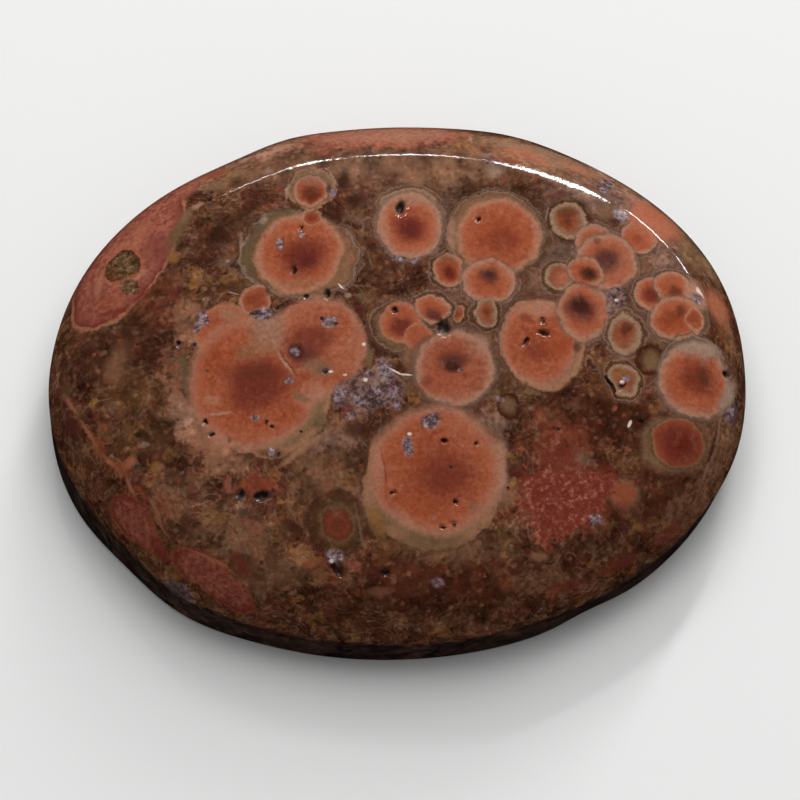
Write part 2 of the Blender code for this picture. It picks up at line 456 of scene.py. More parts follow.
class Sheet:
    # a node tree with short ways to add to it

    def __init__(self, tree):
        self.tree = tree
        self.tree.nodes.clear()

    def add(self, kind, inputs=(), **settings):
        node = self.tree.nodes.new("ShaderNode" + kind)
        for name, value in settings.items():
            setattr(node, name, value)
        pairs = inputs.items() if isinstance(inputs, dict) else enumerate(inputs)
        for place, value in pairs:
            if isinstance(value, bpy.types.NodeSocket):
                self.tree.links.new(value, node.inputs[place])
            elif value is not None:
                node.inputs[place].default_value = value
        return node

    def maths(self, operation, *inputs):
        return self.add("Math", inputs, operation=operation).outputs[0]

    def vector(self, operation, *inputs):
        node = self.add("VectorMath", inputs, operation=operation)
        return node.outputs["Value" if operation == "LENGTH" else "Vector"]

    def shifted(self, where, by, amount):
        return self.vector("MULTIPLY_ADD", by, (amount, amount, amount), where)

    def jittered(self, where, cloud, amount):
        # a cloud runs from 0 to 1, so half the amount is taken off again
        half = amount / 2
        return self.vector("SUBTRACT", self.shifted(where, cloud, amount), (half, half, half))

    def fit(self, value, low, high, newLow=0.0, newHigh=1.0, kind="LINEAR"):
        return self.add("MapRange", (value, low, high, newLow, newHigh),
                        interpolation_type=kind).outputs[0]

    def noise(self, where, scale, detail=2.0, rough=0.5, colour=False):
        node = self.add("TexNoise", {"Vector": where, "Scale": scale, "Detail": detail,
                                     "Roughness": rough})
        return node.outputs["Color" if colour else 0]

    def ramp(self, value, stops):
        node = self.add("ValToRGB", (value,))
        elements = node.color_ramp.elements
        while len(elements) < len(stops):
            elements.new(0.5)
        for element, (place, *paint) in zip(elements, stops):
            element.position = place
            element.color = tone(*paint)
        return node

    def blend(self, amount, under, over, kind="MIX"):
        node = self.add("Mix", {0: amount, 6: under, 7: over}, data_type="RGBA", blend_type=kind)
        return node.outputs[2]

    def shaded(self, colour, shade):
        grey = self.add("CombineColor", (shade, shade, shade)).outputs[0]
        return self.blend(1.0, colour, grey, "MULTIPLY")

    def within(self, where, x, y, a, b, turn=0.0):
        # 0 in the middle of an egg in the stone, 1 at its skin
        node = self.add("Mapping", (where,), vector_type="TEXTURE")
        node.inputs["Location"].default_value = (x, y, heightAt(x, y))
        node.inputs["Rotation"].default_value = (0.0, 0.0, math.radians(turn))
        node.inputs["Scale"].default_value = (a, b, rock["orbDepth"] * (a + b) / 2)
        return self.vector("LENGTH", node.outputs[0])


def paintBand(sheet, under, where, style, x, y, a, b, turn):
    # a ramp ends at 1, so the egg is made larger and the rings smaller to match
    room = rock["bandRoom"]
    stops = [(place / room, *paint) for place, *paint in bands[style]]
    reach = sheet.within(where, x, y, a * room, b * room, turn)
    ring = sheet.ramp(reach, stops)
    return sheet.blend(ring.outputs["Alpha"], under, ring.outputs["Color"])


# a soft patch of one tone, for stain patches, the painted glare and plain marks
def paintSoftTone(sheet, under, where, name, x, y, a, b, turn, share):
    reach = sheet.within(where, x, y, a, b, turn)
    return sheet.blend(sheet.fit(reach, 1.15, .35, 0, share, "SMOOTHSTEP"), under, tone(name))


def paintGrain(sheet, under, where, speckle, name, x, y, a, b, turn, share):
    reach = sheet.within(where, x, y, a, b, turn)
    over = sheet.ramp(speckle, grains[name]).outputs["Color"]
    return sheet.blend(sheet.fit(reach, 1.08, .8, 0, share, "SMOOTHSTEP"), under, over)


def spotMask(sheet, where, spots, edge):
    # many small spots together: x, y, half length, half width, turn
    nearest = None
    for spot in spots:
        reach = sheet.within(where, *spot)
        nearest = reach if nearest is None else sheet.maths("MINIMUM", nearest, reach)
    return sheet.fit(nearest, 1.0 + edge, 1.0 - edge, kind="SMOOTHSTEP")


# what passes from one layer of the pattern to the next
carried = (("Colour", "Color"), ("Dull", "Float"), ("Crisp", "Vector"), ("Loose", "Vector"),
           ("Where", "Vector"), ("Speckle", "Float"))


class Pattern:
    # the pattern is laid in small groups of nodes, one over another

    def __init__(self, sheet, values):
        self.sheet = sheet
        self.values = values

    def lay(self, name, paint, items):
        group = bpy.data.node_groups.new(name, "ShaderNodeTree")
        for title, kind in carried:
            group.interface.new_socket(title, in_out="INPUT", socket_type="NodeSocket" + kind)
        for title, kind in carried[:2]:
            group.interface.new_socket(title, in_out="OUTPUT", socket_type="NodeSocket" + kind)
        inner = Sheet(group)
        ins = inner.tree.nodes.new("NodeGroupInput").outputs
        outs = inner.tree.nodes.new("NodeGroupOutput").inputs
        colour, dull = paint(inner, ins, items)
        inner.tree.links.new(colour, outs["Colour"])
        inner.tree.links.new(dull, outs["Dull"])
        node = self.sheet.add("Group", self.values, node_tree=group)
        self.values["Colour"], self.values["Dull"] = node.outputs
        # a trace of the colour goes into the places, so each group waits for the one below it
        for place in ("Crisp", "Loose", "Where"):
            self.values[place] = self.sheet.shifted(
                self.values[place], self.values["Colour"], rock["trace"])

    def layAll(self, name, paint, items):
        for first in range(0, len(items), rock["groupSize"]):
            self.lay(name, paint, items[first:first + rock["groupSize"]])


# lays the soft stain patches and the painted glare
def layStainsAndGlare(sheet, ins, items):
    colour = ins["Colour"]
    for item in items:
        colour = paintSoftTone(sheet, colour, ins["Loose"], *item)
    return colour, ins["Dull"]


def layMarkings(sheet, ins, items):
    colour = ins["Colour"]
    away = sheet.vector("SUBTRACT", ins["Loose"], ins["Crisp"])
    frayed = sheet.shifted(ins["Crisp"], away, rock["haloFray"])
    fringed = sheet.shifted(ins["Crisp"], away, rock["orbFray"])
    for item in items:
        if item[0] in grains:
            colour = paintGrain(sheet, colour, frayed, ins["Speckle"], *item)
        elif item[0] in bands:
            place = frayed if item[0].endswith("Halo") else fringed
            colour = paintBand(sheet, colour, place, *item)
        else:
            colour = paintSoftTone(sheet, colour, ins["Crisp"], *item)
    return colour, ins["Dull"]


grains = {
    "red": ((.3, "blood"), (.43, "roseRed"), (.53, "brick"), (.62, "rose"),
            (.73, "salmonPale")),
    "pinkGrain": ((.3, "roseRed"), (.42, "roseDeep"), (.52, "rose"), (.62, "salmon"),
                  (.74, "blush")),
    "mossGrain": ((.32, "earthDeep"), (.44, "oliveDark"), (.54, "moss"), (.6, "oliveTan"),
                  (.7, "sand")),
    "fleshGrain": ((.3, "brick"), (.44, "poppyDeep"), (.54, "poppyWarm"),
                   (.66, "salmonPale")),
    "tanGrain": ((.3, "earth"), (.44, "tanDusk"), (.54, "tan"), (.64, "wheat"),
                 (.74, "sand")),
    "slateGrain": ((.3, "coal"), (.4, "slate"), (.48, "lilacDark"), (.56, "haze"),
                   (.66, "lilac"), (.84, "chalk")),
    "crystal": ((.3, "plum"), (.39, "steel"), (.46, "lilacDark"), (.53, "lilac"),
                (.6, "lilac"), (.78, "chalk")),
    "pit": ((.4, "pit"), (.6, "pit")),
    "chalk": ((.4, "chalk"), (.6, "chalk")),
}


def laySpots(grain, place, edge, dullness):
    def paint(sheet, ins, items):
        mask = spotMask(sheet, ins[place], items, edge)
        over = sheet.ramp(ins["Speckle"], grains[grain]).outputs["Color"]
        colour = sheet.blend(mask, ins["Colour"], over)
        dull = sheet.maths("MAXIMUM", ins["Dull"], sheet.maths("MULTIPLY", mask, dullness))
        return colour, dull
    return paint


# soft stain patches under everything else, with one painted glare among them: tone, x, y, half
# length, half width, turn, strength
stainsAndGlare = (
    # the first entry, a pale band along the far shoulder below the highlight, is painted glare
    ("earthPale", 1, 11.9, 9.5, 1.7, -2, .85), ("wheat", 8.4, 12.6, 4.4, 1.3, -18, .9),
    ("wheat", 12.2, 12, 1.6, 1.6, -40, .6), ("earthPale", -6.5, 12.6, 4, 1.2, 20, .5),
    ("rust", -13.2, 4.6, 2, 1.1, 35, .9), ("rustDark", -13.8, 3.2, 1.7, 1.4, 35, .8),
    ("earthDark", -16.4, 1.4, 4, 2.2, 20, .85), ("earthDark", -10, 8, 1.9, 1.3, 30, .7),
    ("earthDark", -.9, 6, 1.5, 3, 0, .7), ("tanDusk", -3.8, -6.8, 3.4, 3, 0, .6),
    ("tanDusk", 3, -11.6, 3.8, 1.1, 0, .7), ("tanDusk", -8.5, -11, 3.4, 2.2, -20, .3),
    ("rustDark", 11.6, -4, 4.2, 2.4, 0, .85), ("earthDeep", 12.6, -4.6, 2.2, 1.4, 0, .6),
    ("rustDark", 2, -13.4, 9, 1.5, 0, .85), ("rustDark", -1.5, -12, 2, 1.2, 0, .7),
    ("moss", 18, 7.4, 1.4, 2.8, 35, .6), ("rustDark", 14.4, -8.2, 3.6, 2.6, 30, .7),
    ("earthDark", -13.6, -4.6, 2.2, 1.8, 0, .7), ("earth", -12.2, -10.1, 1.8, 1.6, 0, .5),
    ("brick", -8, -7.2, 1.7, .8, 0, .8), ("oliveDark", -14.8, -1.5, 2, 1.4, 0, .5),
    ("tan", -12.7, -.3, .7, 2, 0, .6), ("blush", -12.2, -2.9, 1, 1.5, 20, .75),
    ("salmonPale", -10.6, -4.2, 1.6, 1.6, 0, .7), ("tan", -10, -5.4, 1.8, 1, -25, .7),
    ("tan", -11.7, 3.3, 1.4, 1.1, 0, .8), ("tan", -11.9, 1.8, .9, .9, 0, .7),
    ("oliveDark", -14.5, -3.8, 1.8, 1.6, 0, .5), ("tanDusk", -13, -7, 1.8, 1.4, 0, .6),
    ("oliveTan", -10.5, -10.4, 2.4, 1.6, -20, .3), ("tanDusk", -7.4, -12.4, 2.6, 1.2, 0, .5),
    ("earthDeep", -10.9, -10.3, .9, .7, 0, .6), ("earthDeep", -13.2, -6, 1.2, .9, 0, .5),
    ("umber", -13, -8.2, 1, .7, -40, .6), ("oliveDark", -15.6, -1.2, 1.3, 1.6, 0, .6),
    ("salmon", -.4, 14.7, 5.2, 1.7, 0, 1), ("rose", -1.5, 14.2, 3.4, .9, 0, .7),
    ("salmonPale", 2.5, 14.3, 2.4, .8, 0, .7), ("blush", -7.5, 13.4, 3.4, .8, 22, .8),
    ("haze", 13.5, 10.8, 3, 1, -42, .9), ("haze", 11, 9.8, 2.6, 1.8, 0, .65),
    ("haze", 9.3, 6.2, 1.8, 2, 0, .6), ("haze", 15.5, 5.8, 2.2, 1.6, -30, .6),
    ("oliveTan", 17.6, 6.6, 1.4, 2.4, 35, .8), ("wheat", 13.2, 11.4, 3, .6, -40, .6),
    ("haze", 4.8, -4.3, 1.6, .9, 0, .5), ("tanDusk", 7.6, 4.4, 2, 1.6, 0, .5),
    ("haze", -4, -4.8, 2.4, .9, 10, .45), ("tanDusk", 17.4, -4.4, 1, 3, -20, .5),
    ("brick", 9.2, -5.6, 2.8, 1.8, 0, .5), ("oliveDark", 6.4, -1.6, 1.2, 2, 0, .7),
    ("earthDark", 13.7, 11, 1.5, .8, -40, .4), ("smoke", 9, 5.4, 1.4, 3.4, 0, .6),
    ("smoke", 11.8, 9.8, 3.2, 1.3, -30, .5), ("smoke", 13.8, 4.6, 1, 2.2, 0, .5),
    ("smoke", 3.4, 9.6, 1, 2.2, 0, .4), ("smoke", 3.6, 3.6, 1.6, 1, 0, .45),
    ("smoke", 14.6, .4, 1, 1.4, 0, .4),
)

# markings in the order they lie on one another: band or tone, x, y, half length, half width,
# turn, and for a plain tone its strength
upperLeft = (
    ("rose", -11.6, 12, 3.2, 1.2, 28, .9), ("roseZone", -15.2, 7.6, 5.25, 2.5, 59),
    ("salmonPale", -10.6, 12, 1.6, .5, 25, .7), ("pinkGrain", -15.2, 7.6, 4.7, 2.1, 59, .75),
    ("pinkGrain", -12.4, 11.4, 2.2, .9, 28, .7), ("tanGrain", -9.2, 12.3, 2.2, .7, 24, .8),
    ("roseDeep", -13.4, 7.6, 1, 1.5, -10, .8), ("roseDeep", -16.9, 5.3, .8, 1, 0, .6),
    ("clay", -16.4, 4.6, 1.1, .7, 0, .5), ("salmon", -14.4, 8.9, .7, .9, 0, .5),
    ("salmonPale", -16.8, 5.9, .3, 1.2, -15, .5), ("salmon", -15.4, 8, 1.5, .5, 0, .6),
    ("roseRed", -15.9, 3.85, 1.3, .22, 8, .8), ("roseRed", -14.4, 4.7, .9, .22, 48, .8),
    ("salmonPale", -14.6, 5.9, 1, .25, 35, .6), ("island", -15.45, 6.75, 1.1, 1.15, 20),
    ("mossGrain", -15.45, 6.75, .95, 1, 20, .9), ("mossGrain", -15.1, 5.3, .65, .5, 0, .9),
    ("salmon", -15, 5.9, .9, .2, 25, .6), ("umber", -15.9, 6.2, .3, .9, 15, .7),
    ("olive", -12.1, 8.7, 1.9, .5, 66, .9), ("oliveTan", -11.7, 9.6, .6, .4, 60, .7),
    ("oliveWarm", -12.55, 7, .4, .5, 0, .9), ("blush", -11, 10.15, .55, .16, 10, .8),
    ("oliveTan", -9.9, 11.4, 1, .45, 10, .8), ("oliveTan", -8.6, 12.2, .8, .4, 20, .7),
    ("oliveDark", -8.7, 11.4, .6, .35, 0, .7), ("fog", -7, 12.1, .4, .35, 0, .5),
    ("clay", -9.8, 12.6, .9, .5, 20, .7), ("rustDark", -7.4, 10.3, 1.2, .5, 10, .7),
    ("earthDark", -8.2, 9.5, 1.5, .5, 40, .8), ("earthDeep", -9.7, 8.1, .9, .7, 0, .7),
    ("plum", -12.7, 6.1, .5, .4, 0, .6), ("blood", -13.2, 4.2, 1.3, .3, 35, .6),
    ("smoke", -9.4, 6.5, .6, .5, 0, .7), ("fog", -9.35, 6.45, .2, .12, 40, .9),
    ("smoke", -8.7, 5.6, 1.1, .13, -30, .8), ("oliveDark", -9.1, 4.85, .95, .4, 20, .95),
    ("fog", -9.1, 4.4, .42, .07, -25, .9), ("earthDark", -8.4, 4.6, .5, .4, 0, .6),
)
topLeft = (
    ("mossHalo", -5.9, 6.8, 2.85, 2.75, 0), ("tanHalo", -4.75, 6.3, 3, 2.6, 0),
    ("fog", -8.6, 7.6, .12, .9, 0, .5), ("fog", -7.35, 8.85, .3, .35, -30, .8),
    ("oliveDark", -8.1, 8.5, .3, .4, 0, .7), ("moss", -6.3, 9.4, 1, .3, 10, .8),
    ("wheat", -5.6, 4.4, 1.9, .35, 0, .8), ("poppyOrb", -5.3, 6.68, 2.48, 2.5, 0),
    ("salmonPale", -7.5, 6.2, .3, 1.3, 0, .6), ("wheat", -5.5, 4.85, 1.6, .4, 0, .7),
    ("fleshGrain", -5.3, 6.7, 2.2, 2.2, 0, .35), ("blood", -5.1, 6.5, 1.5, 1.3, 0, .95),
    ("mauve", -4.9, 6.2, .8, .5, -20, .6), ("smallOrb", -4.55, 8.95, .58, .6, 0),
    ("brick", -4.58, 8.9, .34, .34, 0, .9), ("umber", -6.15, 7.5, .2, .3, 0, .7),
    ("clay", -7.3, 8, .18, .2, 0, .8), ("clay", -4.05, 5.9, .15, .15, 0, .7),
    ("oliveHalo", -4.4, 10.75, 1.5, 1.35, 0), ("fog", -5.85, 10.7, .1, .8, -8, .8),
    ("fog", -3.1, 11.4, .1, .8, 25, .8), ("smallOrb", -4.4, 10.6, 1, .9, 0),
    ("tan", -4.4, 11.2, .9, .35, 0, .6), ("umber", -4.35, 10.4, .7, .55, 0, .8),
    ("wine", -4.3, 10.15, .4, .3, 0, .6), ("oliveDark", -5.4, 9.75, .45, .3, 0, .9),
    ("coal", -3.4, 10.65, .2, .5, 0, .8), ("earthDark", -3.2, 9.1, .5, .8, 20, .8),
    ("earthDark", -2.55, 11.2, .5, .85, 0, .95), ("earthDark", -2, 9.75, .5, .7, 0, .95),
    ("plum", -1.3, 10.3, .7, .8, 0, .6), ("smoke", -2, 8.6, .9, .4, -20, .6),
    ("earthDark", -1.9, 8.1, .3, .25, 0, .8), ("olive", -1.8, 3.75, .55, .4, 0, .8),
    ("mauve", -2, 2.95, .5, .38, -20, .9), ("smoke", -1.3, 6, .08, .7, 10, .7),
    ("smoke", -1.9, 4.4, .9, .08, -8, .7), ("fog", -3, 4.4, .1, .35, 35, .95),
    # the chalk line at -3, 4.4 is pale quartz with a painted glint
    ("chalk", -3, 4.4, .06, .2, 35, .8), ("fog", -2.7, 3.85, .25, .2, 0, .8),
)
heart = (
    ("oliveHalo", -7.4, -1.85, 3.6, 3.85, 0), ("tan", -10.6, -4, 1.2, 1.3, 0, .9),
    ("salmonPale", -10.2, -4.2, 1, 1.1, 0, .8), ("wheat", -5.5, -5.2, 2, .25, 32, .8),
    ("moss", -12.15, -.1, .3, 1.6, 0, 1), ("coal", -11.9, -1.1, .2, .4, 0, .8),
    ("oliveDark", -7.5, -5.35, 1.1, .28, -5, .8), ("moss", -4.5, -3.7, .5, .7, -30, .8),
    ("softOrb", -9.7, 2.1, 1.75, 1.5, 20), ("softOrb", -4.4, .9, 2.55, 2.75, 0),
    ("softOrb", -8.2, -1.15, 3.55, 3.75, 0), ("salmonPale", -5, -1.9, 1.2, .9, 20, .95),
    ("salmonPale", -2.6, .8, .8, 1.7, 0, .6), ("softOrb", -4.6, 1.9, 2.2, 1.6, 0),
    ("wheat", -9.3, 3.1, .9, .4, -10, .8), ("blush", -7.2, 2, 1, .8, -30, .95),
    ("wheat", -7.7, 1.1, 1.1, .8, -30, .95), ("oliveTan", -8.6, .75, .7, .55, 0, .8),
    ("blush", -6.4, 2.6, .8, 1, -40, .7), ("pumpkin", -10.3, .2, 1.2, 1.2, 0, .8),
    ("pumpkin", -9, -3.4, 1.1, .8, 0, .6), ("pumpkin", -6.2, -3.2, 1.1, .8, 0, .6),
    ("salmon", -4.2, .4, 2.2, 2.4, 0, .6), ("salmon", -4.6, 3, 1.8, .6, 0, .5),
    ("salmon", -5, 2.7, 2, 1, 0, .9), ("fleshGrain", -8.2, -1.1, 3.4, 3.6, 0, .35),
    ("fleshGrain", -4.4, .9, 2.4, 2.6, 0, .4), ("blush", -7.3, 1.7, 1.5, .9, -30, .5),
    ("tanGrain", -7.2, 1.6, 1.4, .9, -30, .2), ("blood", -7.9, -1, 2.3, 1.6, -10, .85),
    ("blood", -8.4, -2.1, 1.6, .9, 0, .6), ("umber", -8, -.5, 1.2, .6, 0, .5),
    ("blood", -4.9, 1.1, 1.7, 1.3, 30, .75), ("plum", -5.2, .3, .9, .8, 0, .6),
    ("tan", -4.5, -.4, 1.2, .6, -10, .9), ("smoke", -4.2, -.55, .5, .3, 0, .6),
    ("coal", -5.65, .6, .6, .6, 0, 1), ("lilacDark", -5.7, .6, .35, .35, 0, .55),
    ("blush", -6.45, 0, 1.15, .14, -58, .95), ("umber", -6.2, -.1, 1, .1, -60, .7),
    ("blush", -6.9, 1.1, .25, .18, -40, .9), ("oliveTan", -5.6, -2.1, .7, .3, -30, .8),
    ("blush", -10.2, -2.9, 1, .12, 8, .9), ("salmonPale", -10.6, -2, .6, .4, 0, .7),
    ("pumpkin", -9.6, -2.3, .5, .3, 0, .5), ("smallOrb", -7.95, 3.95, .8, .9, 0),
    ("earthDark", -7.3, 4.4, .2, .35, 30, .8), ("blush", -9, -5.1, .4, .15, 0, .5),
    ("olive", -9.8, -4.4, .2, .3, 0, .8),
)
druzy = (
    ("slateGrain", -2.1, -2.1, 1.8, 1.3, 20, .7), ("slateGrain", -.6, -2.1, 1.1, 1.1, 0, .7),
    ("blush", -1.3, -1.4, .8, .5, 0, .3), ("tanGrain", -3, -3.6, 1.2, .5, 20, .6),
    ("blood", -2.9, -3.1, .4, .4, 0, .8), ("earthDark", -2.3, -4.2, 1.2, .7, 0, .8),
    ("earthDark", -.6, .2, .8, .4, 0, .6), ("earthDark", -1.4, 1, .5, .8, 0, .8),
    ("oliveTan", -1.6, -.1, .3, .7, 0, .7),
)
topMiddle = (
    ("blush", 4.85, 13.9, .12, .8, 0, .9), ("moss", 5.3, 14, .35, .9, 0, .8),
    ("earthDark", 5.8, 13, .5, .5, 0, .8), ("blush", -2.8, 13.8, .08, .6, 12, .8),
    ("olive", -2.2, 13.6, .4, .5, 0, .8), ("fog", -3.4, 14, .5, .3, 0, .6),
    ("rose", -3.6, 13.2, .7, .5, 0, .5), ("pinkGrain", 0, 14.3, 4.8, 1.2, 0, .6),
    ("tanGrain", 9, 12.4, 4, 1.2, -20, .6), ("blush", 0, 14.5, 4.9, 1.1, 0, .45),
    ("sand", 9, 12.9, 4.2, .9, -22, .5), ("slateGrain", 6.2, 11.9, .7, 1, 20, .5),
    ("salmon", 8, 12.7, 1.8, .5, -20, .7), ("clay", 6.9, 12.2, 1.2, .25, -15, .7),
    ("salmon", 11, 11.9, 1.3, .4, -32, .6), ("fog", 6.1, 11.4, .8, .5, 0, .6),
    ("tanOrb", 1.15, 9.5, 1.6, 1, 0), ("blushOrb", 1.15, 8.1, 1.85, 2.12, 0),
    ("fog", 1.3, 9.6, 1, .4, 0, .45), ("blood", 1.1, 7.9, 1.15, 1.1, 0, .95),
    ("mauve", 1.1, 7.8, .6, .6, 0, .5), ("salmonPale", -.3, 8.1, .3, 1.2, 0, .6),
    ("wheat", .55, 9.25, .4, .5, 0, .8), ("coal", .65, 9.35, .26, .4, -15, .9),
    ("darkHalo", 6.1, 7.4, 3.05, 3, 0), ("tanHalo", 5.95, 7.45, 2.8, 2.8, 0),
    ("blush", 3.5, 7.4, .3, 1.2, 0, .8), ("fog", 9.1, 7.6, .1, .9, 5, .7),
    ("poppyOrb", 6.15, 7.2, 2.35, 2.4, 0), ("salmonPale", 8.2, 7, .3, 1.3, 0, .7),
    ("fleshGrain", 6.15, 7.2, 2.1, 2.1, 0, .35), ("pumpkin", 6.3, 7.2, 1.7, 1.6, 0, .6),
    ("brick", 6.4, 7, 1.1, 1, 0, .7), ("smallOrb", 3.2, 5.15, .9, 1, 0),
    ("olive", 3.1, 5.9, .6, .25, 0, .6), ("wine", 3.3, 4.95, .5, .5, 0, .85),
    ("blushOrb", 5.5, 4.35, 1.55, 1.4, 0), ("plum", 5.55, 4.8, .75, .6, 0, .9),
    ("coal", 5.55, 4.85, .3, .25, 0, .7), ("tanOrb", 5.2, 2.4, .65, .85, 0),
    ("oliveDark", 5.3, 1.5, .8, .15, 10, .8), ("smallOrb", 3.6, 2.4, .35, .5, 0),
)
upperRight = (
    ("darkHalo", 10.2, 8.1, 1.4, 1.5, 0), ("tanOrb", 10.2, 8.1, 1.05, 1.15, 0),
    ("oliveDark", 10.2, 8.6, .8, .35, 0, .6), ("fog", 9, 8.6, .1, .7, -20, .5),
    ("mauve", 9.7, 9.8, .9, .4, 20, .7), ("oliveTan", 12.5, 8.6, .8, .6, 0, .7),
    ("blushOrb", 14.25, 7, 1.05, 1.05, 0), ("salmonPale", 15.1, 8.6, 2.1, 1.9, -30, 1),
    ("salmon", 15, 8.4, 1.5, 1.4, 0, .9), ("blush", 13.6, 8.9, .6, .8, -40, .6),
    ("moss", 17.7, 7.5, .8, 1.6, 35, .6), ("sandRim", 8.45, .3, 2.35, 2.7, 0),
    ("softOrb", 8.2, .55, 2.1, 2.45, 0), ("fleshGrain", 8.2, .5, 1.9, 2.2, 0, .4),
    ("salmonPale", 8.2, 2.5, 1.5, .6, 0, .9), ("blush", 8.6, 2.9, .7, .2, 0, .7),
    ("brick", 7.5, 2, .5, .4, 0, .7), ("pumpkin", 9.2, .2, .9, 1, 0, .8),
    ("brick", 8, 0, 1.1, .7, -10, .8), ("oliveDark", 10.35, .25, .3, .45, 0, .8),
    ("blushOrb", 10.8, 2.35, 1.5, 1.75, 0), ("salmon", 11.6, 2.3, .5, .7, 0, .8),
    ("plum", 10.5, 2.5, 1.1, 1, 0, .85), ("coal", 10.5, 2.65, .6, .6, 0, .95),
    ("sand", 11.5, 1.1, .7, .3, 45, .8), ("olive", 11.9, 1.3, .2, .5, -40, .7),
    ("fleshGrain", 15.2, 8.4, 1.6, 1.6, 0, .4), ("salmon", 15.1, 8.4, 2, 1.8, -30, .8),
    ("slateGrain", 13.5, 9.3, .6, .6, 0, .5), ("tanOrb", 9.45, 4.5, .85, .8, 0),
    ("salmon", 9.6, 4.4, .6, .5, 0, .9), ("blushOrb", 11.6, 6.6, 1.1, 1.3, 0),
    ("blushOrb", 12.25, 5.5, 1.7, 1.8, 0), ("salmon", 12.6, 5.4, 1.4, 1.5, 0, .8),
    ("plum", 12.25, 5.6, 1, 1, 0, .95), ("plum", 11.75, 6.9, .35, .3, 0, .7),
    ("blushOrb", 11.05, 4.85, 1.05, 1, 0), ("brick", 11, 4, 1.1, .15, -12, .7),
    ("umber", 11.3, 4.7, .65, .65, 0, .9), ("coal", 11.38, 4.75, .38, .48, 0, .95),
    ("slateGrain", 12.6, 2.9, .65, 1, -20, .9), ("earthDark", 13.3, 2.3, .9, .3, -25, .8),
)
farRight = (
    ("blushOrb", 14.75, 3.4, .95, 1, 0), ("blood", 14.75, 3.3, .6, .55, 0, .9),
    ("blushOrb", 15.95, 3.85, 1.1, 1.05, 0), ("umber", 16.1, 3.5, .55, .45, 0, .8),
    ("blushOrb", 16.1, 1.85, 1.55, 1.35, 0), ("pumpkin", 15.6, 1.7, .9, .8, 0, .9),
    ("brick", 15.75, 1.9, .6, .5, 0, .6), ("umber", 16.3, 2.3, .4, .5, 0, .8),
    ("smallOrb", 17.15, 1.9, .5, .75, 0), ("blush", 17.3, 3.5, .7, 1.15, 15, 1),
    # the chalk spot at 17.5, 3.75 is pale quartz with a painted glint
    ("lilacDark", 17.2, 3.35, .25, .3, 0, .8), ("chalk", 17.5, 3.75, .12, .3, 20, 1),
    ("salmon", 18.5, 3.1, .9, 1.5, 10, .9), ("tanOrb", 13.1, 1, 1, 1.35, 0),
    ("clay", 13.15, 1.2, .7, .8, 0, .8), ("umber", 13.25, 1.35, .5, .55, 0, .95),
    ("sand", 13.1, -.1, .7, .25, 0, .9), ("oliveOrb", 14.5, -.6, .8, .9, 0),
    ("tanOrb", 12.9, -1.85, .95, 1, 0), ("oliveWarm", 12.7, -1.5, .6, .5, 0, .8),
    ("brick", 12.5, -1.3, .2, .15, 0, .8), ("lilac", 13.05, -1.8, .3, .25, 0, .9),
    ("earthDeep", 12.15, -2.4, .08, .8, 17, .9), ("mossHalo", 17, -1.6, 2.2, 2.5, 0),
    ("blushOrb", 17, -1.85, 2.15, 2.2, 0), ("fog", 17.4, 0, 1.7, .65, 0, .95),
    ("fog", 17.5, -.6, .3, .6, 0, .8), ("fleshGrain", 17, -1.9, 1.9, 1.9, 0, .4),
    ("pumpkin", 15.9, -2.4, .9, 1.1, 0, .5), ("blood", 17.2, -1.7, 1.3, 1.3, 0, .8),
    ("umber", 17.4, -1.6, .45, .75, 0, .9), ("fog", 18.8, -2.5, .4, 1.5, -25, 1),
    ("softHalo", 15.5, -5.7, 1.9, 1.6, 0), ("redOrb", 15.75, -5.6, 1.5, 1.38, 0),
    ("lilacDark", 19, -3.6, .3, 1.2, -25, .6),
)
